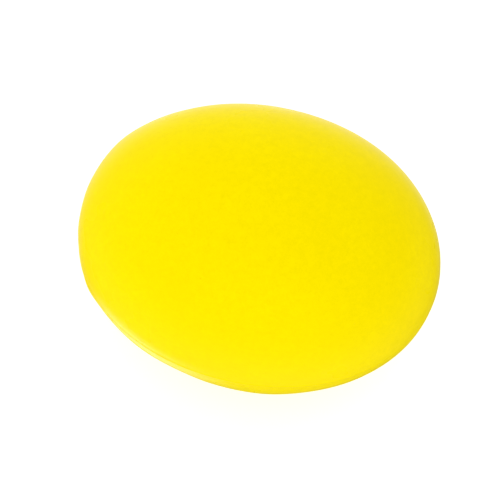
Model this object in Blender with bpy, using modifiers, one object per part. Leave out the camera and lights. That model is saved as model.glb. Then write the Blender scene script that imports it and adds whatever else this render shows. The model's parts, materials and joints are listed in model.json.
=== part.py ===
"""Oval foam stress ball, moulded in two halves and sealed with a patch over its pour hole.

The ball is a fat oval turned about its long axis, +X. The mould opens along +Z, so its
parting plane is level and holds the long axis. Metres, +Z up. The origin is at the centre
of the ball's box, on the surface that the ball rests on.

    skin_lower   dense skin and colour coat that formed in the lower mould half
    skin_upper   the same from the upper mould half, above the parting line
    foam_core    the soft cellular foam that fills both skins
    pour_patch   the dab of coat that seals the trimmed pour hole at the -X tip
"""

import math

import bmesh
import bpy

# Driving sizes of the ball, before its tip is trimmed and its foot is pressed flat.
BALL_LENGTH = 0.0700
BALL_DIAMETER = 0.0545
# Exponent of the long outline: 2 is an ellipse, and more is squarer in the shoulders.
OUTLINE_FULLNESS = 2.055
# Dense skin with its coat, all round the core.
SKIN_WALL = 0.0012
# Height that the resting ball's soft underside loses where it presses flat.
FOOT_PRESS = 0.0006
# Length that trimming the sprue takes off the -X tip.
TIP_TRIM = 0.00045
POUR_HOLE_DIAMETER = 0.0076
PATCH_EDGE_ROUND = 0.00015

# Clearances between neighbouring pieces.
PARTING_GAP = 0.0003
CORE_GAP = 0.0003
PATCH_GAP = 0.0003

# Facets around the long axis, and from one tip to the other. Both are even.
STEPS_AROUND = 40
STEPS_ALONG = 24
HOLE_STEPS = 32
POLE_MERGE = 0.00001
# How far a cutter runs past what it cuts.
OVERRUN = 0.005

# Places that follow from the sizes.
HALF_LENGTH = BALL_LENGTH / 2
RADIUS = BALL_DIAMETER / 2
CENTRE_X = -TIP_TRIM / 2
CENTRE_Z = RADIUS - FOOT_PRESS
TIP_X = CENTRE_X - HALF_LENGTH + TIP_TRIM

COAT_YELLOW = (0.955, 0.745, 0.004, 1.0)
FOAM_YELLOW = (0.930, 0.760, 0.140, 1.0)


def clear_scene():
    """Empty the scene, so that the script gives the same model each time it runs."""
    for obj in list(bpy.data.objects):
        bpy.data.objects.remove(obj, do_unlink=True)


def new_collection(name):
    collection = bpy.data.collections.new(name)
    bpy.context.scene.collection.children.link(collection)
    return collection


def new_material(name, colour, roughness):
    """A matte, unmetallic Principled surface."""
    material = bpy.data.materials.new(name)
    material.use_nodes = True
    surface = material.node_tree.nodes["Principled BSDF"]
    surface.inputs["Base Color"].default_value = colour
    surface.inputs["Roughness"].default_value = roughness
    surface.inputs["Metallic"].default_value = 0.0
    return material


def add_object(name, bm, collection):
    mesh = bpy.data.meshes.new(name)
    bm.to_mesh(mesh)
    bm.free()
    obj = bpy.data.objects.new(name, mesh)
    collection.objects.link(obj)
    return obj


def make_cutter(obj):
    """Show an object as a wire guide that the render leaves out."""
    obj.hide_render = True
    obj.display_type = "WIRE"
    return obj


def outline_point(turn, half_length, radius):
    """The (radius, height) of the oval outline at an angle from its +X tip."""
    power = 2 / OUTLINE_FULLNESS
    out = radius * math.sin(turn) ** power if 0 < turn < math.pi else 0.0
    along = math.copysign(half_length * abs(math.cos(turn)) ** power, math.cos(turn))
    return out, along


def turned_oval(name, inset, collection):
    """A closed oval whose surface lies `inset` inside the ball's, turned about +X."""
    half_length, radius = HALF_LENGTH - inset, RADIUS - inset
    bm = bmesh.new()
    points = []
    for step in range(STEPS_ALONG + 1):
        out, along = outline_point(math.pi * step / STEPS_ALONG, half_length, radius)
        points.append(bm.verts.new((out, 0.0, along)))
    for first, second in zip(points, points[1:]):
        bm.edges.new((first, second))
    obj = add_object(name, bm, collection)
    obj.location = (CENTRE_X, 0.0, CENTRE_Z)
    obj.rotation_euler = (0.0, math.pi / 2, 0.0)
    screw = obj.modifiers.new("turn about the long axis", "SCREW")
    screw.axis = "Z"
    screw.angle = 2 * math.pi
    screw.steps = STEPS_AROUND
    screw.render_steps = STEPS_AROUND
    screw.use_merge_vertices = True
    screw.merge_threshold = POLE_MERGE
    screw.use_smooth_shade = True
    return obj


def box_cutter(name, low, high, collection):
    """A box between two corners, as a cutter."""
    bm = bmesh.new()
    bmesh.ops.create_cube(bm, size=1.0)
    size = [b - a for a, b in zip(low, high)]
    bmesh.ops.scale(bm, vec=size, verts=bm.verts)
    obj = make_cutter(add_object(name, bm, collection))
    obj.location = [(a + b) / 2 for a, b in zip(low, high)]
    return obj


def disc_along_x(name, diameter, low_x, high_x, collection):
    """A disc or rod on the ball's long axis, between two places along X."""
    bm = bmesh.new()
    bmesh.ops.create_cone(
        bm,
        cap_ends=True,
        segments=HOLE_STEPS,
        radius1=diameter / 2,
        radius2=diameter / 2,
        depth=high_x - low_x,
    )
    obj = add_object(name, bm, collection)
    obj.location = ((low_x + high_x) / 2, 0.0, CENTRE_Z)
    obj.rotation_euler = (0.0, math.pi / 2, 0.0)
    return obj


def cut(obj, cutter, operation="DIFFERENCE"):
    boolean = obj.modifiers.new(f"{operation.lower()} {cutter.name}", "BOOLEAN")
    boolean.object = cutter
    boolean.operation = operation
    boolean.solver = "EXACT"


def settle_and_trim(obj, inset, cutters):
    """Press the foot flat and trim the -X tip, keeping the surface `inset` inside."""
    reach = BALL_LENGTH
    foot = box_cutter(
        f"foot of {obj.name}",
        (-reach, -reach, -OVERRUN),
        (reach, reach, inset),
        cutters,
    )
    tip = box_cutter(
        f"tip of {obj.name}",
        (TIP_X - OVERRUN, -reach, -OVERRUN),
        (TIP_X + inset, reach, BALL_DIAMETER + OVERRUN),
        cutters,
    )
    cut(obj, foot)
    cut(obj, tip)
    return obj


def build_skin(name, keep_above, material, parts, cutters):
    """One mould half's skin: an open bowl with half of the pour hole in its rim."""
    skin = settle_and_trim(turned_oval(name, 0.0, parts), 0.0, cutters)
    cavity = settle_and_trim(
        turned_oval(f"cavity of {name}", SKIN_WALL, cutters), SKIN_WALL, cutters
    )
    cut(skin, make_cutter(cavity))
    reach = BALL_LENGTH
    if keep_above:
        low = (-reach, -reach, -OVERRUN)
        high = (reach, reach, CENTRE_Z + PARTING_GAP / 2)
    else:
        low = (-reach, -reach, CENTRE_Z - PARTING_GAP / 2)
        high = (reach, reach, BALL_DIAMETER + OVERRUN)
    cut(skin, box_cutter(f"other half of {name}", low, high, cutters))
    hole = disc_along_x(
        f"pour hole of {name}",
        POUR_HOLE_DIAMETER,
        TIP_X - OVERRUN,
        TIP_X + OVERRUN,
        cutters,
    )
    cut(skin, make_cutter(hole))
    skin.data.materials.append(material)
    return skin


def build_core(material, parts, cutters):
    """The foam that fills the skins, flat behind the patch and over the foot."""
    inset = SKIN_WALL + CORE_GAP
    core = settle_and_trim(turned_oval("foam_core", inset, parts), inset, cutters)
    core.data.materials.append(material)
    return core


def build_patch(material, parts):
    """The dab of coat in the pour hole, flush with the trimmed tip."""
    patch = disc_along_x(
        "pour_patch",
        POUR_HOLE_DIAMETER - 2 * PATCH_GAP,
        TIP_X,
        TIP_X + SKIN_WALL,
        parts,
    )
    patch.data.shade_smooth()
    edge = patch.modifiers.new("softened edge", "BEVEL")
    edge.width = PATCH_EDGE_ROUND
    edge.segments = 2
    edge.limit_method = "ANGLE"
    patch.data.materials.append(material)
    return patch


def main():
    clear_scene()
    parts = new_collection("stress_ball")
    cutters = new_collection("cutters")
    coat_lower = new_material("coat of the lower skin", COAT_YELLOW, 0.55)
    coat_upper = new_material("coat of the upper skin", COAT_YELLOW, 0.55)
    foam = new_material("cellular foam", FOAM_YELLOW, 0.90)
    dab = new_material("touch-up coat", COAT_YELLOW, 0.50)
    build_skin("skin_lower", False, coat_lower, parts, cutters)
    build_skin("skin_upper", True, coat_upper, parts, cutters)
    build_core(foam, parts, cutters)
    build_patch(dab, parts)


main()
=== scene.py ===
"""Looks of the oval foam stress ball: its coated skins, foam core and pour-hole patch.

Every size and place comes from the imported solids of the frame. The ball is moulded
polyurethane foam: the two mould halves were sprayed with a lemon-yellow coat, the foam
swelled against it and grew a dense skin, and the cut-off sprue was sealed with a dab of
the same coat. Lengths are in metres.
"""

import json
import logging
import math
from dataclasses import dataclass
from enum import Enum

import bmesh
import bpy
from mathutils import Matrix, Vector


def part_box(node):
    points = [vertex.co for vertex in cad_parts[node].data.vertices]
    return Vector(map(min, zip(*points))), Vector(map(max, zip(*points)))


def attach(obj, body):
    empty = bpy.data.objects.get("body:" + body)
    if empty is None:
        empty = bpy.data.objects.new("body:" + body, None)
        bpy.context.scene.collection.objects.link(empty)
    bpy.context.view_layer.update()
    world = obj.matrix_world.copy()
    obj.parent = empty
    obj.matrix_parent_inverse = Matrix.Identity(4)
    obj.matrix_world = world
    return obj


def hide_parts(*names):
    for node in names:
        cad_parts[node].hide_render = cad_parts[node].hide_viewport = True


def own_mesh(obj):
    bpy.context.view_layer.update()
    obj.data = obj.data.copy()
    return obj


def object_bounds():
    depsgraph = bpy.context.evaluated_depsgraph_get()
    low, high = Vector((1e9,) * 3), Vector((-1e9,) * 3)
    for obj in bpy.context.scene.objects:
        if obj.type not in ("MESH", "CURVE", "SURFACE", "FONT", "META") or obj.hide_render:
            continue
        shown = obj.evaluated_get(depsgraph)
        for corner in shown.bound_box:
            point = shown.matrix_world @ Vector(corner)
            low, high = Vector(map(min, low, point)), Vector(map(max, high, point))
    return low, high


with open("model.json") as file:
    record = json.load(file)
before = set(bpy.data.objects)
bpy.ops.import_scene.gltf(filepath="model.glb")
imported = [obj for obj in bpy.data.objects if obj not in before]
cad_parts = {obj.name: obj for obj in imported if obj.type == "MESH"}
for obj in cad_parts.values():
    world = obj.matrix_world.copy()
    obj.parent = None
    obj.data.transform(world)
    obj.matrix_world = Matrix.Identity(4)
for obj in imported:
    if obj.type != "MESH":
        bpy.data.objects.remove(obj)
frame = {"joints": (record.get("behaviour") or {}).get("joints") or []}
CAD_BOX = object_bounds()

LOG = logging.getLogger("stress_ball")
MM = 0.001
CAD_TRIM = 0.45 * MM  # what the cut takes off the solids' -X tip
SHARP_EDGE = math.radians(50)  # a crease that shading doesn't smooth over
SAME_HEIGHT = 1e-6  # heights that differ by less are one
MERGE_REACH = 1e-7  # vertices nearer than this become one
NOT_ZERO = 1e-9  # keeps a divisor off zero
WHITE = (1.0, 1.0, 1.0, 1.0)


class Half(Enum):
    """The two mould halves, by the side of the parting plane that their skin is on."""

    LOWER = -1.0
    UPPER = 1.0


# ---------------------------------------------------------------- small helpers


def linear(srgb_hex: str) -> tuple[float, float, float, float]:
    """Turn an sRGB colour into the linear colour that a shader socket takes.

    Args:
        srgb_hex: Six hex digits, such as "FFD700".

    Returns:
        Linear red, green, blue and an alpha of 1.
    """
    channels = []
    for start in (0, 2, 4):
        value = int(srgb_hex[start : start + 2], 16) / 255
        if value <= 0.04045:
            channels.append(value / 12.92)
        else:
            channels.append(((value + 0.055) / 1.055) ** 2.4)
    return (channels[0], channels[1], channels[2], 1.0)


def soft_max(value: float, floor: float, blur: float) -> float:
    """Keep a value above a floor, with a rounded change-over.

    Args:
        value: The value to limit.
        floor: The lowest that it may go.
        blur: Width of the rounding between the two.

    Returns:
        The limited value.
    """
    gap = value - floor
    return floor + (gap + math.sqrt(gap * gap + blur * blur)) / 2


def smooth_step(share: float) -> float:
    """Ease from 0 to 1 as a share goes from 0 to 1.

    Args:
        share: The share. It may be past either end.

    Returns:
        The eased share.
    """
    share = min(1.0, max(0.0, share))
    return share * share * (3 - 2 * share)


def way_to(azimuth_deg: float, elevation_deg: float) -> Vector:
    """Find the unit direction from the ball to a place round it.

    Args:
        azimuth_deg: 0 is towards -Y and 90 towards +X.
        elevation_deg: Height above the horizon.

    Returns:
        The direction.
    """
    azimuth, elevation = math.radians(azimuth_deg), math.radians(elevation_deg)
    level = math.cos(elevation)
    return Vector(
        (math.sin(azimuth) * level, -math.cos(azimuth) * level, math.sin(elevation))
    )


def new_object(name: str, bm: bmesh.types.BMesh) -> bpy.types.Object:
    """Turn a finished bmesh into a smooth-shaded object at the origin.

    Args:
        name: The object's and the mesh's name.
        bm: The mesh, with its place in its vertices. It is freed.

    Returns:
        The linked object.
    """
    mesh = bpy.data.meshes.new(name)
    bm.to_mesh(mesh)
    bm.free()
    mesh.shade_smooth()
    obj = bpy.data.objects.new(name, mesh)
    bpy.context.scene.collection.objects.link(obj)
    return obj


def add_node(
    tree: bpy.types.NodeTree,
    kind: str,
    settings: dict[str, object] | None = None,
    slots: dict[int, object] | None = None,
    **links: object,
) -> bpy.types.Node:
    """Add a node with its settings and its inputs.

    Args:
        tree: The node tree.
        kind: The node's type name, such as "ShaderNodeTexNoise".
        settings: Values for the node's own properties.
        slots: Input number to a value or an output, for inputs that share a name.
        links: Input name, with _ for a space, to a value or an output.

    Returns:
        The new node.
    """
    node = tree.nodes.new(kind)
    for name, value in (settings or {}).items():
        setattr(node, name, value)
    inputs = {name.replace("_", " "): value for name, value in links.items()}
    for key, value in {**(slots or {}), **inputs}.items():
        socket = node.inputs[key]
        if isinstance(value, bpy.types.NodeSocket):
            tree.links.new(value, socket)
        else:
            socket.default_value = value
    return node


def new_surface(name: str) -> tuple[bpy.types.Material, bpy.types.Node]:
    """Make a material with one Principled shader.

    Args:
        name: The material's name.

    Returns:
        The material and its shader node.
    """
    material = bpy.data.materials.new(name)
    material.use_nodes = True
    return material, material.node_tree.nodes["Principled BSDF"]


# ---------------------------------------------------------------- form of the ball


@dataclass(frozen=True)
class Swell:
    """A broad soft rise or hollow, where the foam cured unevenly.

    Attributes:
        way: Direction from the ball's centre.
        height: How far it rises, or sinks if negative.
        spread_deg: Angle at which it has fallen to about a third.
    """

    way: tuple[float, float, float]
    height: float
    spread_deg: float

    def rise(self, way: Vector) -> float:
        """Find how far the surface rises in one direction from the centre."""
        angle = way.angle(Vector(self.way))
        return self.height * math.exp(-((angle / math.radians(self.spread_deg)) ** 2))


@dataclass(frozen=True)
class OvalForm:
    """The oval that every piece follows, turned about +X.

    Attributes:
        centre: Middle of the untrimmed oval, on the parting plane.
        half_length: From the centre to the untrimmed tips.
        radius: Half of the ball's diameter at its middle.
        top: Height of the ball's crown.
        fullness: Exponent of the long outline. 2 is an ellipse.
        tip_trim: Length that cutting the sprue took off the -X tip.
        cut_deg: Half angle, from the centre, of the cut and the dab on it.
        cut_round: Rounding at the edge of that cut.
        foot_round: Rounding at the edge of the foot that presses on the table.
        swells: Unevenness of the cured foam.
        halvings: How often a search for a place on the oval halves its step.
    """

    centre: Vector
    half_length: float
    radius: float
    top: float
    fullness: float = 2.055
    tip_trim: float = 0.72 * MM
    cut_deg: float = 9.0
    cut_round: float = 0.20 * MM
    foot_round: float = 0.35 * MM
    swells: tuple[Swell, ...] = ()
    halvings: int = 40

    @classmethod
    def from_frame(cls, swells: tuple[Swell, ...]) -> "OvalForm":
        """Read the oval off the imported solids.

        Args:
            swells: Unevenness to add.

        Returns:
            The form.
        """
        low, high = CAD_BOX
        parting = (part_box("skin_lower")[1].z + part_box("skin_upper")[0].z) / 2
        centre = Vector(((low.x + high.x - CAD_TRIM) / 2, 0.0, parting))
        return cls(
            centre=centre,
            half_length=(high.x - low.x + CAD_TRIM) / 2,
            radius=high.z - parting,
            top=high.z,
            swells=swells,
        )

    @property
    def tip_x(self) -> float:
        """Give the place of the trimmed -X tip."""
        return self.centre.x - self.half_length + self.tip_trim

    @property
    def flat_centre(self) -> Vector:
        """Give the centre, without its height."""
        return Vector((self.centre.x, self.centre.y, 0.0))

    def unevenness(self, way: Vector) -> float:
        """Find how far the cured surface rises in a direction.

        Args:
            way: Unit direction from the centre.

        Returns:
            The rise, which is nothing at the cut tip.
        """
        off_tip = math.degrees(way.angle(Vector((-1.0, 0.0, 0.0))))
        share = smooth_step((off_tip - self.cut_deg) / self.cut_deg)
        return share * sum(swell.rise(way) for swell in self.swells)

    def girth(self, across: Vector, above: float) -> float:
        """Find the distance from the upright axis to the untrimmed oval.

        Args:
            across: Level direction, of any length.
            above: Height above the parting plane.

        Returns:
            The distance in that direction at that height.
        """
        way = across.normalized()
        low, high = 0.0, 2 * self.half_length
        for _ in range(self.halvings):
            reach = (low + high) / 2
            along = abs(reach * way.x) / self.half_length
            out = math.hypot(reach * way.y, above) / self.radius
            if along**self.fullness + out**self.fullness < 1:
                low = reach
            else:
                high = reach
        return (low + high) / 2

    def point(self, way: Vector, inset: float = 0.0) -> Vector:
        """Find a point of the form.

        Args:
            way: Unit direction that picks the point.
            inset: Depth below the ball's outside.

        Returns:
            The point, in the frame.
        """
        power = 2 / self.fullness
        across = math.hypot(way.y, way.z)
        out = (self.radius - inset) * across**power / max(across, NOT_ZERO)
        along = (self.half_length - inset) * math.copysign(abs(way.x) ** power, way.x)
        place = Vector((along, out * way.y, out * way.z))
        place += way * self.unevenness(way)
        place += self.centre
        place.x = soft_max(place.x, self.tip_x + inset, self.cut_round)
        place.z = soft_max(place.z, inset, self.foot_round)
        return place


def even_ball(cuts: int) -> bmesh.types.BMesh:
    """Make a unit ball of even quads without poles, with a loop on each middle plane.

    Args:
        cuts: Cuts across each edge of the cube that it starts from. It is odd.

    Returns:
        The ball, centred on the origin.
    """
    bm = bmesh.new()
    bmesh.ops.create_cube(bm, size=2.0)
    bmesh.ops.subdivide_edges(bm, edges=bm.edges[:], cuts=cuts, use_grid_fill=True)
    for vert in bm.verts:
        vert.co = Vector([math.tan(c * math.pi / 4) for c in vert.co]).normalized()
    return bm


# ---------------------------------------------------------------- pieces


@dataclass
class SkinHalf:
    """The dense skin and colour coat of one mould half, as a thin bowl.

    Attributes:
        name: The piece's name.
        half: The mould half.
        form: The ball's form.
        wall: Thickness of the skin.
        hole_diameter: Width of the pour hole, half of which is in this rim.
        cuts: Fineness of the mesh.
        cut_reach: How near to a cut a vertex is moved onto it.
        upright: Up or down share of a normal, below which its face is the ball's side.
        line_gap: Width of the hairline between the halves.
        flash_height: How far the trimmed flash stands proud at the parting line.
        flash_width: How far the flash reaches from the parting line.
        flash_steps: Rows of faces across it.
        flash_waves: Count, size and turn of each wave in the flash's fullness.
        rim_round: Rounding of the rim's outer edge.
        hole_steps: Facets round the pour hole.
        hole_reach: Length of the hole's cutter, in walls.
    """

    name: str
    half: Half
    form: OvalForm
    wall: float
    hole_diameter: float
    cuts: int = 79
    cut_reach: float = 0.02 * MM
    upright: float = 0.7
    line_gap: float = 0.016 * MM
    flash_height: float = 0.06 * MM
    flash_width: float = 0.62 * MM
    flash_steps: int = 8
    flash_waves: tuple[tuple[int, float, float], ...] = (
        (3, 0.16, 0.4),
        (7, 0.16, 2.0),
        (17, 0.10, 1.0),
    )
    rim_round: float = 0.02 * MM
    hole_steps: int = 64
    hole_reach: int = 6

    def build(self) -> bpy.types.Object:
        """Model the bowl.

        Returns:
            The finished object.
        """
        side = self.half.value
        rim = self.form.centre.z + side * self.line_gap / 2
        bm = even_ball(self.cuts)
        for vert in bm.verts:
            vert.co = self.form.point(vert.co)
        self._open(bm, rim + side * self.flash_width)
        self._draw_out(bm, rim)
        self._thicken(bm)
        self._raise_flash(bm, rim)
        self._round_rim(bm, rim)
        obj = new_object(self.name, bm)
        self._cut_hole(obj)
        return obj

    def _open(self, bm: bmesh.types.BMesh, height: float) -> None:
        """Cut the ball at a height and drop the other half's side of it.

        Args:
            bm: The whole ball.
            height: Where to cut.
        """
        bmesh.ops.bisect_plane(
            bm,
            geom=bm.verts[:] + bm.edges[:] + bm.faces[:],
            dist=self.cut_reach,
            plane_co=(0.0, 0.0, height),
            plane_no=(0.0, 0.0, -self.half.value),
            clear_outer=True,
            clear_inner=False,
        )
        for vert in bm.verts:
            if vert.is_boundary:
                vert.co.z = height

    def _draw_out(self, bm: bmesh.types.BMesh, rim: float) -> None:
        """Extrude the open edge to the rim in rows that follow the form.

        Args:
            bm: The bowl, open at the flash's inner edge.
            rim: Height of the rim.
        """
        edges = [edge for edge in bm.edges if edge.is_boundary]
        last = self.flash_width
        for step in range(1, self.flash_steps + 1):
            above = self.flash_width * (1 - step / self.flash_steps)
            grown = bmesh.ops.extrude_edge_only(bm, edges=edges)["geom"]
            edges = [part for part in grown if isinstance(part, bmesh.types.BMEdge)]
            edges = [edge for edge in edges if edge.is_boundary]
            for vert in {vert for edge in edges for vert in edge.verts}:
                across = Vector((vert.co.x, vert.co.y, 0.0)) - self.form.flat_centre
                across *= self.form.girth(across, above) / self.form.girth(across, last)
                vert.co = self.form.flat_centre + across
                vert.co.z = rim + self.half.value * above
            last = above

    def _thicken(self, bm: bmesh.types.BMesh) -> None:
        """Give the skin its wall, inwards."""
        bmesh.ops.recalc_face_normals(bm, faces=bm.faces[:])
        bmesh.ops.solidify(bm, geom=bm.faces[:], thickness=self.wall)

    def _raise_flash(self, bm: bmesh.types.BMesh, rim: float) -> None:
        """Swell the outside near the rim into the trimmed flash of the mould.

        Args:
            bm: The bowl with its wall.
            rim: Height of the rim.
        """
        bm.normal_update()
        for vert in bm.verts:
            above = abs(vert.co.z - rim)
            across = Vector((vert.co.x, vert.co.y, 0.0)) - self.form.flat_centre
            if above >= self.flash_width or vert.normal.dot(across) < 0:
                continue
            full = (1 - (above / self.flash_width) ** 2) ** 2
            turn = math.atan2(across.y, across.x)
            rise = self.flash_height * full * self._flash_wander(turn)
            vert.co += across.normalized() * rise

    def _flash_wander(self, turn: float) -> float:
        """Find how full the flash is, because trimming leaves it uneven.

        Args:
            turn: Angle round the rim.

        Returns:
            Its share of the flash's usual height.
        """
        return 1 + sum(
            size * math.sin(count * turn + start)
            for count, size, start in self.flash_waves
        )

    def _round_rim(self, bm: bmesh.types.BMesh, rim: float) -> None:
        """Round the outer edge of the rim.

        Args:
            bm: The bowl with its wall and flash.
            rim: Height of the rim.
        """
        bm.normal_update()
        edges = [
            edge
            for edge in bm.edges
            if all(abs(vert.co.z - rim) < SAME_HEIGHT for vert in edge.verts)
            and self._outer_edge(edge)
        ]
        bmesh.ops.bevel(
            bm,
            geom=edges,
            offset=self.rim_round,
            offset_type="OFFSET",
            affect="EDGES",
            segments=2,
            profile=0.5,
            material=-1,
        )

    def _outer_edge(self, edge: bmesh.types.BMEdge) -> bool:
        """Tell whether an edge of the rim is the one on the ball's outside.

        Args:
            edge: An edge that lies in the rim's plane.

        Returns:
            True on the outside, and False round the foam.
        """
        middle = (edge.verts[0].co + edge.verts[1].co) / 2 - self.form.centre
        middle.z = 0.0
        return any(
            abs(face.normal.z) < self.upright and face.normal.dot(middle) > 0
            for face in edge.link_faces
        )

    def _cut_hole(self, obj: bpy.types.Object) -> None:
        """Cut this half's share of the pour hole.

        Args:
            obj: The bowl. Its mesh is replaced.
        """
        bm = bmesh.new()
        bmesh.ops.create_cone(
            bm,
            cap_ends=True,
            segments=self.hole_steps,
            radius1=self.hole_diameter / 2,
            radius2=self.hole_diameter / 2,
            depth=self.hole_reach * self.wall,
            matrix=Matrix.Translation((self.form.tip_x, 0.0, self.form.centre.z))
            @ Matrix.Rotation(math.pi / 2, 4, "Y"),
        )
        cutter = new_object("pour_hole_cutter", bm)
        boolean = obj.modifiers.new("pour hole", "BOOLEAN")
        boolean.operation = "DIFFERENCE"
        boolean.solver = "EXACT"
        boolean.object = cutter
        settled = bpy.data.meshes.new_from_object(
            obj.evaluated_get(bpy.context.evaluated_depsgraph_get())
        )
        obj.modifiers.clear()
        old, obj.data = obj.data, settled
        settled.name = self.name
        bpy.data.meshes.remove(old)
        bpy.data.objects.remove(cutter)
        obj.data.shade_smooth()
        obj.data.set_sharp_from_angle(angle=SHARP_EDGE)


@dataclass
class FoamCore:
    """The soft cellular foam inside the skins.

    Attributes:
        form: The ball's form.
        inset: Depth of its surface below the ball's outside.
        cuts: Fineness of the mesh.
    """

    form: OvalForm
    inset: float
    cuts: int = 47

    def build(self) -> bpy.types.Object:
        """Model the foam.

        Returns:
            The finished object.
        """
        bm = even_ball(self.cuts)
        for vert in bm.verts:
            vert.co = self.form.point(vert.co, self.inset)
        bmesh.ops.recalc_face_normals(bm, faces=bm.faces[:])
        return new_object("core_foam", bm)


@dataclass
class PourPatch:
    """The dab of coat that fills the pour hole and laps over its edge.

    Attributes:
        form: The ball's form.
        plug_radius: Radius of what sits in the hole.
        depth: How deep it reaches below the trimmed tip.
        lip: How far the dab laps past the plug.
        crown: How far its middle stands proud of its edge.
        edge: Thickness of the coat at the lip.
        dome_power: How late the dome falls off. 2 is a round one.
        edge_power: How late the lip rounds over.
        rows: Rows of faces from its middle to its lip.
        steps: Facets round it.
        under_lip: Height of the lip's underside where it meets the plug.
        waver: How far the lip's edge wanders.
        waves: Count, share and turn of each wave in that edge.
    """

    form: OvalForm
    plug_radius: float
    depth: float
    lip: float = 0.42 * MM
    crown: float = 0.13 * MM
    edge: float = 0.06 * MM
    dome_power: int = 3
    edge_power: int = 16
    rows: int = 12
    steps: int = 96
    under_lip: float = 0.004 * MM
    waver: float = 0.07 * MM
    waves: tuple[tuple[int, float, float], ...] = (
        (2, 1.0, 0.6),
        (5, 0.6, 2.1),
        (9, 0.4, 4.0),
    )

    def outline(self) -> list[tuple[float, float]]:
        """Draw the turned profile, from the middle of the face to that of the back.

        The face is a shallow dome, and only its edge rounds over steeply.

        Returns:
            Pairs of radius and height above the trimmed tip.
        """
        lip_radius = self.plug_radius + self.lip
        face = []
        for row in range(self.rows + 1):
            share = row / self.rows
            dome = self.crown * (1 - share**self.dome_power)
            coat = self.edge * (1 - share**self.edge_power)
            face.append((lip_radius * share, dome + coat))
        back = [
            (self.plug_radius, self.under_lip),
            (self.plug_radius, -self.depth / 2),
            (self.plug_radius, -self.depth),
            (0.0, -self.depth),
        ]
        return face + back

    def build(self) -> bpy.types.Object:
        """Model the dab.

        Returns:
            The finished object.
        """
        bm = bmesh.new()
        verts = [bm.verts.new((-high, 0.0, out)) for out, high in self.outline()]
        edges = [bm.edges.new(pair) for pair in zip(verts, verts[1:])]
        bmesh.ops.spin(
            bm,
            geom=verts + edges,
            cent=(0.0, 0.0, 0.0),
            axis=(1.0, 0.0, 0.0),
            angle=2 * math.pi,
            steps=self.steps,
            use_merge=True,
        )
        bmesh.ops.remove_doubles(bm, verts=bm.verts[:], dist=MERGE_REACH)
        self._waver(bm)
        bmesh.ops.recalc_face_normals(bm, faces=bm.faces[:])
        place = Vector((self.form.tip_x, 0.0, self.form.centre.z))
        bmesh.ops.translate(bm, vec=place, verts=bm.verts[:])
        obj = new_object("pour_hole_dab", bm)
        obj.data.set_sharp_from_angle(angle=SHARP_EDGE)
        return obj

    def _waver(self, bm: bmesh.types.BMesh) -> None:
        """Let the lip's edge wander, as a brushed dab's does.

        Args:
            bm: The turned dab, still round the origin.
        """
        for vert in bm.verts:
            radius = math.hypot(vert.co.y, vert.co.z)
            share = smooth_step((radius - self.plug_radius) / self.lip)
            turn = math.atan2(vert.co.z, vert.co.y)
            wave = sum(
                size * math.sin(count * turn + start)
                for count, size, start in self.waves
            )
            stretch = 1 + share * wave * self.waver / max(radius, MM)
            vert.co.y *= stretch
            vert.co.z *= stretch


# ---------------------------------------------------------------- finishes


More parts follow.
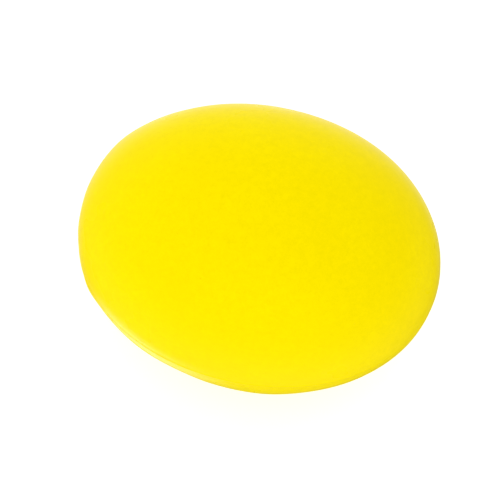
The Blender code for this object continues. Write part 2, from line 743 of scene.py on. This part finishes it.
@dataclass(frozen=True)
class SprayedCoat:
    """In-mould polyurethane coat on foam skin: sprayed, then pressed by the swelling foam.

    It is matte with a faint powdery sheen at grazing angles, has a fine orange peel from
    the spray, a few pinholes where bubbles met the mould, barely cloudy colour, and a
    grain of spots where the spray fell thinner. Real spray droplets are finer than
    0.1 mm and would not show, so the grain is drawn coarser than it is.

    Attributes:
        name: The material's name.
        colour: The coat at its fullest.
        cloud: The coat between its clouds.
        thin: The coat at its thinnest spots.
        tint: Colour of what little gloss it has.
        roughness: Microscopic roughness of the film.
        gloss_change: How much rougher or smoother the clouds make it.
        gloss: Strength of its gloss, where 0.5 is a bare film's.
        ior: Refractive index of polyurethane.
        cloud_size: Width of the clouds.
        cloud_range: Height in the clouds at which the roughness starts and ends changing.
        thin_size: Width of the largest thin spots.
        thin_range: Height in their pattern at which the coat is thinnest and fullest.
        peel_size: Width of the orange peel's bumps.
        peel_depth: Height of the orange peel.
        pinhole_spacing: Typical distance between bubbles that met the mould.
        pinhole_range: Radius of a pinhole's floor and mouth, in spacings.
        pinhole_rarity: Share of the bubbles that left no pinhole.
        pinhole_depth: Depth of a pinhole.
        seed: Shift of the patterns, so that two pieces differ.
    """

    name: str = "sprayed polyurethane coat"
    colour: str = "FCE800"
    cloud: str = "F7DD00"
    thin: str = "F1DB00"
    tint: str = "FFEE00"
    roughness: float = 0.29
    gloss_change: float = 0.03
    gloss: float = 0.03
    ior: float = 1.47
    cloud_size: float = 14 * MM
    cloud_range: tuple[float, float] = (0.3, 0.7)
    thin_size: float = 1.5 * MM
    thin_range: tuple[float, float] = (0.25, 0.65)
    peel_size: float = 0.9 * MM
    peel_depth: float = 0.010 * MM
    pinhole_spacing: float = 3.2 * MM
    pinhole_range: tuple[float, float] = (0.03, 0.075)
    pinhole_rarity: float = 0.72
    pinhole_depth: float = 0.06 * MM
    seed: float = 0.0

    def material(self) -> bpy.types.Material:
        """Build the material.

        Returns:
            The material.
        """
        material, shader = new_surface(self.name)
        tree = material.node_tree
        place = add_node(tree, "ShaderNodeTexCoord").outputs["Object"]
        where = add_node(
            tree, "ShaderNodeMapping", Vector=place, Location=(self.seed, 0.0, 0.0)
        ).outputs["Vector"]
        clouds = add_node(
            tree,
            "ShaderNodeTexNoise",
            Vector=where,
            Scale=1 / self.cloud_size,
            Detail=3.0,
            Roughness=0.5,
        ).outputs["Fac"]
        colour = self._colour(tree, where, clouds)
        tree.links.new(colour, shader.inputs["Base Color"])
        roughness = add_node(
            tree,
            "ShaderNodeMapRange",
            Value=clouds,
            From_Min=self.cloud_range[0],
            From_Max=self.cloud_range[1],
            To_Min=self.roughness + self.gloss_change,
            To_Max=self.roughness - self.gloss_change,
        ).outputs["Result"]
        tree.links.new(roughness, shader.inputs["Roughness"])
        tree.links.new(self._relief(tree, where), shader.inputs["Normal"])
        shader.inputs["Metallic"].default_value = 0.0
        shader.inputs["IOR"].default_value = self.ior
        shader.inputs["Specular IOR Level"].default_value = self.gloss
        shader.inputs["Specular Tint"].default_value = linear(self.tint)
        return material

    def _colour(
        self,
        tree: bpy.types.NodeTree,
        where: bpy.types.NodeSocket,
        clouds: bpy.types.NodeSocket,
    ) -> bpy.types.NodeSocket:
        """Colour the coat by its clouds and thin spots.

        Args:
            tree: The node tree.
            where: Coordinates.
            clouds: Height in the pattern of clouds.

        Returns:
            A socket with the colour.
        """
        cloudy = add_node(
            tree,
            "ShaderNodeMix",
            {"data_type": "RGBA"},
            {6: linear(self.cloud), 7: linear(self.colour)},
            Factor=clouds,
        ).outputs[2]
        spots = add_node(
            tree,
            "ShaderNodeTexNoise",
            Vector=where,
            Scale=1 / self.thin_size,
            Detail=3.0,
            Roughness=1.0,
        ).outputs["Fac"]
        cover = add_node(
            tree,
            "ShaderNodeMapRange",
            Value=spots,
            From_Min=self.thin_range[0],
            From_Max=self.thin_range[1],
        ).outputs["Result"]
        return add_node(
            tree,
            "ShaderNodeMix",
            {"data_type": "RGBA"},
            {6: linear(self.thin), 7: cloudy},
            Factor=cover,
        ).outputs[2]

    def _relief(
        self, tree: bpy.types.NodeTree, where: bpy.types.NodeSocket
    ) -> bpy.types.NodeSocket:
        """Raise the orange peel and sink the pinholes.

        Args:
            tree: The node tree.
            where: Coordinates.

        Returns:
            A socket with the surface's direction.
        """
        peel = add_node(
            tree,
            "ShaderNodeTexNoise",
            Vector=where,
            Scale=1 / self.peel_size,
            Detail=2.0,
            Roughness=0.45,
        ).outputs["Fac"]
        peeled = add_node(
            tree,
            "ShaderNodeBump",
            Strength=1.0,
            Distance=self.peel_depth,
            Height=peel,
        ).outputs["Normal"]
        return add_node(
            tree,
            "ShaderNodeBump",
            {"invert": True},
            Strength=1.0,
            Distance=self.pinhole_depth,
            Height=self._pinholes(tree, where),
            Normal=peeled,
        ).outputs["Normal"]

    def _pinholes(
        self, tree: bpy.types.NodeTree, where: bpy.types.NodeSocket
    ) -> bpy.types.NodeSocket:
        """Mark small round pits in a few of the cells of a scatter.

        Args:
            tree: The node tree.
            where: Coordinates.

        Returns:
            A socket that is 1 in a pit and 0 elsewhere.
        """
        cells = add_node(
            tree,
            "ShaderNodeTexVoronoi",
            Vector=where,
            Scale=1 / self.pinhole_spacing,
            Randomness=1.0,
        )
        near = add_node(
            tree,
            "ShaderNodeMapRange",
            {"interpolation_type": "SMOOTHSTEP"},
            Value=cells.outputs["Distance"],
            From_Min=self.pinhole_range[0],
            From_Max=self.pinhole_range[1],
            To_Min=1.0,
            To_Max=0.0,
        ).outputs["Result"]
        chance = add_node(
            tree, "ShaderNodeSeparateColor", Color=cells.outputs["Color"]
        ).outputs["Red"]
        chosen = add_node(
            tree,
            "ShaderNodeMath",
            {"operation": "GREATER_THAN"},
            {0: chance, 1: self.pinhole_rarity},
        ).outputs["Value"]
        return add_node(
            tree, "ShaderNodeMath", {"operation": "MULTIPLY"}, {0: near, 1: chosen}
        ).outputs["Value"]


@dataclass(frozen=True)
class CellularFoam:
    """Flexible polyurethane foam, cast and left with its cells open at the surface.

    It is dull and pale, and pitted all over. Real cells are about 0.3 mm across, and
    are drawn coarser, so that they show where the foam does.

    Attributes:
        name: The material's name.
        colour: The walls between the cells.
        cell_painted_shade: Painted shade, darker than the walls, in the sunken middle of a
            cell.
        roughness: Microscopic roughness.
        ior: Refractive index of polyurethane foam.
        cell_size: Width of a cell.
        cell_depth: Depth of a cell.
    """

    name: str = "flexible polyurethane foam"
    colour: str = "F2DC6A"
    cell_painted_shade: str = "D9B93C"
    roughness: float = 0.92
    ior: float = 1.5
    cell_size: float = 0.55 * MM
    cell_depth: float = 0.12 * MM

    def material(self) -> bpy.types.Material:
        """Build the material.

        Returns:
            The material.
        """
        material, shader = new_surface(self.name)
        tree = material.node_tree
        where = add_node(tree, "ShaderNodeTexCoord").outputs["Object"]
        cells = add_node(
            tree,
            "ShaderNodeTexVoronoi",
            {"feature": "F1"},
            Vector=where,
            Scale=1 / self.cell_size,
            Randomness=1.0,
        ).outputs["Distance"]
        # Painted shade: each cell is coloured darker towards its sunken middle, where the
        # bump makes a pit.
        tint = add_node(
            tree,
            "ShaderNodeMix",
            {"data_type": "RGBA"},
            {6: linear(self.cell_painted_shade), 7: linear(self.colour)},
            Factor=cells,
        ).outputs[2]
        tree.links.new(tint, shader.inputs["Base Color"])
        relief = add_node(
            tree,
            "ShaderNodeBump",
            Strength=1.0,
            Distance=self.cell_depth,
            Height=cells,
        ).outputs["Normal"]
        tree.links.new(relief, shader.inputs["Normal"])
        shader.inputs["Roughness"].default_value = self.roughness
        shader.inputs["IOR"].default_value = self.ior
        return material


@dataclass(frozen=True)
class WhiteSweep:
    """Cast opal acrylic sheet of a light table, with a matted face.

    It is an even white, lit from below and washed out to the lens.

    Attributes:
        name: The material's name.
        colour: Its own white.
        roughness: Microscopic roughness of the matted face.
        gloss: Strength of its gloss.
        glow: How much light it gives the ball from below on its bright side.
        dim_glow: The same on its dim side.
        dim_azimuth_deg: Where the dim side is.
        fade: Distance either way from the middle over which the glow changes.
        wash: What the lens sees instead, which keeps the table plain white.
    """

    name: str = "opal acrylic sheet"
    colour: str = "D8D8D8"
    roughness: float = 0.9
    gloss: float = 0.1
    glow: float = 0.50
    dim_glow: float = 0.20
    dim_azimuth_deg: float = 162.0
    fade: float = 55 * MM
    wash: float = 0.55

    def material(self) -> bpy.types.Material:
        """Build the material.

        Returns:
            The material.
        """
        material, card = new_surface(self.name)
        tree = material.node_tree
        card.inputs["Base Color"].default_value = linear(self.colour)
        card.inputs["Roughness"].default_value = self.roughness
        card.inputs["Specular IOR Level"].default_value = self.gloss
        card.inputs["Emission Color"].default_value = WHITE
        where = add_node(tree, "ShaderNodeTexCoord").outputs["Object"]
        along = add_node(
            tree,
            "ShaderNodeVectorMath",
            {"operation": "DOT_PRODUCT"},
            {0: where, 1: way_to(self.dim_azimuth_deg, 0.0)},
        ).outputs["Value"]
        glow = add_node(
            tree,
            "ShaderNodeMapRange",
            {"interpolation_type": "SMOOTHSTEP"},
            Value=along,
            From_Min=-self.fade,
            From_Max=self.fade,
            To_Min=self.glow,
            To_Max=self.dim_glow,
        ).outputs["Result"]
        seen = add_node(tree, "ShaderNodeLightPath").outputs["Is Camera Ray"]
        strength = add_node(
            tree, "ShaderNodeMapRange", Value=seen, To_Min=glow, To_Max=self.wash
        ).outputs["Result"]
        tree.links.new(strength, card.inputs["Emission Strength"])
        return material


# ---------------------------------------------------------------- studio


@dataclass(frozen=True)
class TentSide:
    """A broad soft patch of the tent that is brighter or dimmer than the rest.

    Attributes:
        azimuth_deg: Where it is. 0 is towards -Y and 90 towards +X.
        elevation_deg: Its height above the horizon.
        spread_deg: Angle from its middle at which it ends.
        change: Share of brightness that it adds, or takes away if negative.
    """

    azimuth_deg: float
    elevation_deg: float
    spread_deg: float
    change: float


@dataclass(frozen=True)
class LightTent:
    """An evenly lit white tent.

    Only reflections see the part of it that is below the table, so that part sets the
    pale gloss at the ball's edges.

    Attributes:
        overhead: Brightness straight up.
        horizon: Brightness at table height.
        sides: Patches that differ.
        under: Brightness below the table.
        under_sides: Patches that differ there.
        blend: Height, up and down from the horizon, over which the two halves meet.
        seen: Brightness to the lens, which keeps the backdrop plain white.
    """

    overhead: float = 0.955
    horizon: float = 1.22
    sides: tuple[TentSide, ...] = (
        TentSide(107.0, -5.0, 50.0, -0.70),
        TentSide(103.0, 58.0, 46.0, 0.20),
        TentSide(-56.0, 5.0, 72.0, 0.13),
    )
    under: float = 0.06
    under_sides: tuple[TentSide, ...] = (
        TentSide(-161.0, -32.0, 54.0, 20.0),
        TentSide(-65.0, -71.0, 14.0, 43.0),
    )
    blend: float = 0.02
    seen: float = 1.3

    def build(self) -> bpy.types.World:
        """Build the surroundings.

        Returns:
            The world.
        """
        world = bpy.data.worlds.new("light tent")
        world.use_nodes = True
        tree = world.node_tree
        where = add_node(tree, "ShaderNodeTexCoord").outputs["Generated"]
        height = add_node(tree, "ShaderNodeSeparateXYZ", Vector=where).outputs["Z"]
        above = add_node(
            tree,
            "ShaderNodeMapRange",
            {"interpolation_type": "SMOOTHSTEP"},
            Value=height,
            From_Min=0.0,
            From_Max=1.0,
            To_Min=self.horizon,
            To_Max=self.overhead,
        ).outputs["Result"]
        above = self._with_sides(tree, where, above, self.sides)
        below = self._with_sides(tree, where, self.under, self.under_sides)
        level = add_node(
            tree,
            "ShaderNodeMapRange",
            Value=height,
            From_Min=-self.blend,
            From_Max=self.blend,
            To_Min=below,
            To_Max=above,
        ).outputs["Result"]
        seen = add_node(tree, "ShaderNodeLightPath").outputs["Is Camera Ray"]
        shown = add_node(
            tree, "ShaderNodeMapRange", Value=seen, To_Min=level, To_Max=self.seen
        ).outputs["Result"]
        glow = tree.nodes["Background"]
        glow.inputs["Color"].default_value = WHITE
        tree.links.new(shown, glow.inputs["Strength"])
        return world

    def _with_sides(
        self,
        tree: bpy.types.NodeTree,
        where: bpy.types.NodeSocket,
        level: bpy.types.NodeSocket | float,
        sides: tuple[TentSide, ...],
    ) -> bpy.types.NodeSocket:
        """Brighten and dim a level in some directions.

        Args:
            tree: The node tree.
            where: The direction.
            level: The brightness without the patches.
            sides: The patches.

        Returns:
            The brightness with the patches.
        """
        for side in sides:
            near = add_node(
                tree,
                "ShaderNodeVectorMath",
                {"operation": "DOT_PRODUCT"},
                {0: where, 1: way_to(side.azimuth_deg, side.elevation_deg)},
            ).outputs["Value"]
            share = add_node(
                tree,
                "ShaderNodeMapRange",
                {"interpolation_type": "SMOOTHSTEP"},
                Value=near,
                From_Min=math.cos(math.radians(side.spread_deg)),
                From_Max=1.0,
                To_Min=0.0,
                To_Max=side.change,
            ).outputs["Result"]
            level = add_node(
                tree,
                "ShaderNodeMath",
                {"operation": "MULTIPLY_ADD"},
                {0: share, 1: level, 2: level},
            ).outputs["Value"]
        return level


@dataclass
class Studio:
    """Pale table, light tent and camera.

    Attributes:
        centre: What the camera is set round.
        azimuth_deg: The camera's place round the ball. 0 looks along +Y.
        elevation_deg: The camera's height above the horizon.
        lens_mm: Focal length.
        sensor_mm: Width of the sensor.
        clip: Nearest and farthest distance that the camera sees.
        distance: From the camera to the ball.
        off_centre: How far right and up of the middle of the view the ball sits.
        table_size: Half of the table's side.
    """

    centre: Vector
    azimuth_deg: float = 13.6
    elevation_deg: float = 68.4
    lens_mm: float = 150.0
    sensor_mm: float = 36.0
    clip: tuple[float, float] = (0.01, 20.0)
    distance: float = 0.3988
    off_centre: tuple[float, float] = (1.61 * MM, 0.33 * MM)
    table_size: float = 2.5

    def build(self) -> None:
        """Make the table, the surroundings and the camera."""
        self._table()
        bpy.context.scene.world = LightTent().build()
        self._camera()
        bpy.context.scene.view_settings.view_transform = "Standard"

    def _table(self) -> None:
        """Make a wide white table that the ball rests on."""
        bm = bmesh.new()
        bmesh.ops.create_grid(bm, x_segments=1, y_segments=1, size=self.table_size)
        table = new_object("table", bm)
        table.data.materials.append(WhiteSweep().material())
        table.visible_glossy = False

    def _camera(self) -> None:
        """Set up the camera."""
        data = bpy.data.cameras.new("camera")
        data.lens = self.lens_mm
        data.sensor_width = self.sensor_mm
        data.clip_start, data.clip_end = self.clip
        camera = bpy.data.objects.new("camera", data)
        back = way_to(self.azimuth_deg, self.elevation_deg)
        turn = back.to_track_quat("Z", "Y")
        right = turn @ Vector((1.0, 0.0, 0.0))
        upward = turn @ Vector((0.0, 1.0, 0.0))
        aim = self.centre - right * self.off_centre[0] - upward * self.off_centre[1]
        camera.location = aim + back * self.distance
        camera.rotation_euler = turn.to_euler()
        bpy.context.scene.collection.objects.link(camera)
        bpy.context.scene.camera = camera


# ---------------------------------------------------------------- the whole ball


@dataclass(frozen=True)
class Seat:
    """What a piece stands for, and what carries it.

    Attributes:
        slot: The record's material slot. Not used.
        body: The body that the piece rides on.
        share: Share of the crown's travel that this body makes. Not used.
    """

    slot: str
    body: str
    share: float


SEATS = {
    "skin_lower": Seat("skin_coat", "lower", 0.0),
    "skin_upper": Seat("skin_coat", "upper", 1.0),
    "foam_core": Seat("foam", "core", 0.5),
    "pour_patch": Seat("patch_coat", "core", 0.5),
}


@dataclass
class StressBall:
    """All of the ball's pieces, each carried by the body that it rides on.

    Its pieces are kept by the name of the solid that each stands for.

    Attributes:
        form: The form that every piece follows.
        travel: How far the crown can be pressed. Not used.
        wall: Thickness of the skins.
        hole_diameter: Width of the pour hole.
        hole_play: Space round the dab's plug.
        bond: Space between the foam and the skins.
    """

    form: OvalForm
    travel: float
    wall: float = 1.2 * MM
    hole_diameter: float = 7.6 * MM
    hole_play: float = 0.08 * MM
    bond: float = 0.06 * MM

    @classmethod
    def from_frame(cls, form: OvalForm) -> "StressBall":
        """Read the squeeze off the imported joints.

        Args:
            form: The form that every piece follows.

        Returns:
            The ball.
        """
        squeeze = next(j for j in frame["joints"] if j["name"] == "squeeze")
        return cls(form, max(squeeze["range_m"]))

    def build(self) -> dict[str, bpy.types.Object]:
        """Model every piece.

        Returns:
            The pieces.
        """
        plug_radius = self.hole_diameter / 2 - self.hole_play
        return {
            "skin_lower": self._skin("lower_skin", Half.LOWER),
            "skin_upper": self._skin("upper_skin", Half.UPPER),
            "foam_core": FoamCore(self.form, self.wall + self.bond).build(),
            "pour_patch": PourPatch(self.form, plug_radius, self.wall).build(),
        }

    def _skin(self, name: str, half: Half) -> bpy.types.Object:
        """Model the skin of one mould half."""
        return SkinHalf(name, half, self.form, self.wall, self.hole_diameter).build()

    def dress(self, pieces: dict[str, bpy.types.Object]) -> None:
        """Give every piece its finish.

        Args:
            pieces: The pieces.
        """
        coat = SprayedCoat().material()
        foam = CellularFoam().material()
        # Brushed on by hand: the same coat, a little deeper and with broader marks.
        dab = SprayedCoat(
            name="brushed polyurethane coat",
            colour="FBE300",
            cloud="F6D900",
            thin="EED400",
            roughness=0.30,
            peel_size=1.4 * MM,
            peel_depth=0.05 * MM,
            seed=0.2,
        ).material()
        pieces["skin_lower"].data.materials.append(coat)
        pieces["skin_upper"].data.materials.append(coat)
        pieces["foam_core"].data.materials.append(foam)
        pieces["pour_patch"].data.materials.append(dab)

    def place(self, pieces: dict[str, bpy.types.Object]) -> None:
        """Make every piece stand for its solid: carry it on its body and hide the solid.

        Args:
            pieces: The pieces.
        """
        for node, seat in SEATS.items():
            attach(pieces[node], seat.body)
            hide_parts(node)
            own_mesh(pieces[node])


SWELLS = (
    Swell((0.738, -0.610, -0.288), -0.09 * MM, 12.0),
    Swell((0.474, -0.810, -0.346), -0.06 * MM, 10.0),
    Swell((0.200, -0.910, -0.364), 0.19 * MM, 9.0),
    Swell((-0.018, -0.934, -0.358), 0.09 * MM, 9.0),
    Swell((-0.291, -0.900, -0.325), -0.18 * MM, 8.0),
    Swell((-0.680, -0.700, -0.220), -0.06 * MM, 8.0),
    Swell((-0.849, -0.510, -0.135), 0.34 * MM, 6.0),
    Swell((-0.983, -0.183, 0.001), -0.25 * MM, 10.0),
    Swell((-0.984, 0.128, 0.121), -0.12 * MM, 9.0),
    Swell((-0.843, 0.479, 0.246), 0.23 * MM, 10.0),
    Swell((-0.501, 0.795, 0.342), -0.15 * MM, 9.0),
    Swell((-0.282, 0.888, 0.362), -0.08 * MM, 9.0),
    Swell((0.483, 0.829, 0.284), 0.06 * MM, 14.0),
    Swell((0.879, 0.462, 0.114), -0.07 * MM, 12.0),
)


def main() -> None:
    """Build the ball and its studio, and log each piece's vertex and face counts."""
    logging.basicConfig(level=logging.INFO, format="%(name)s: %(message)s")
    form = OvalForm.from_frame(SWELLS)
    ball = StressBall.from_frame(form)
    pieces = ball.build()
    ball.dress(pieces)
    ball.place(pieces)
    for node, piece in pieces.items():
        mesh = piece.data
        counts = (len(mesh.vertices), len(mesh.polygons))
        LOG.info("%s, for %s: %d vertices, %d faces", piece.name, node, *counts)
    Studio(form.centre).build()


if __name__ == "__main__":
    main()
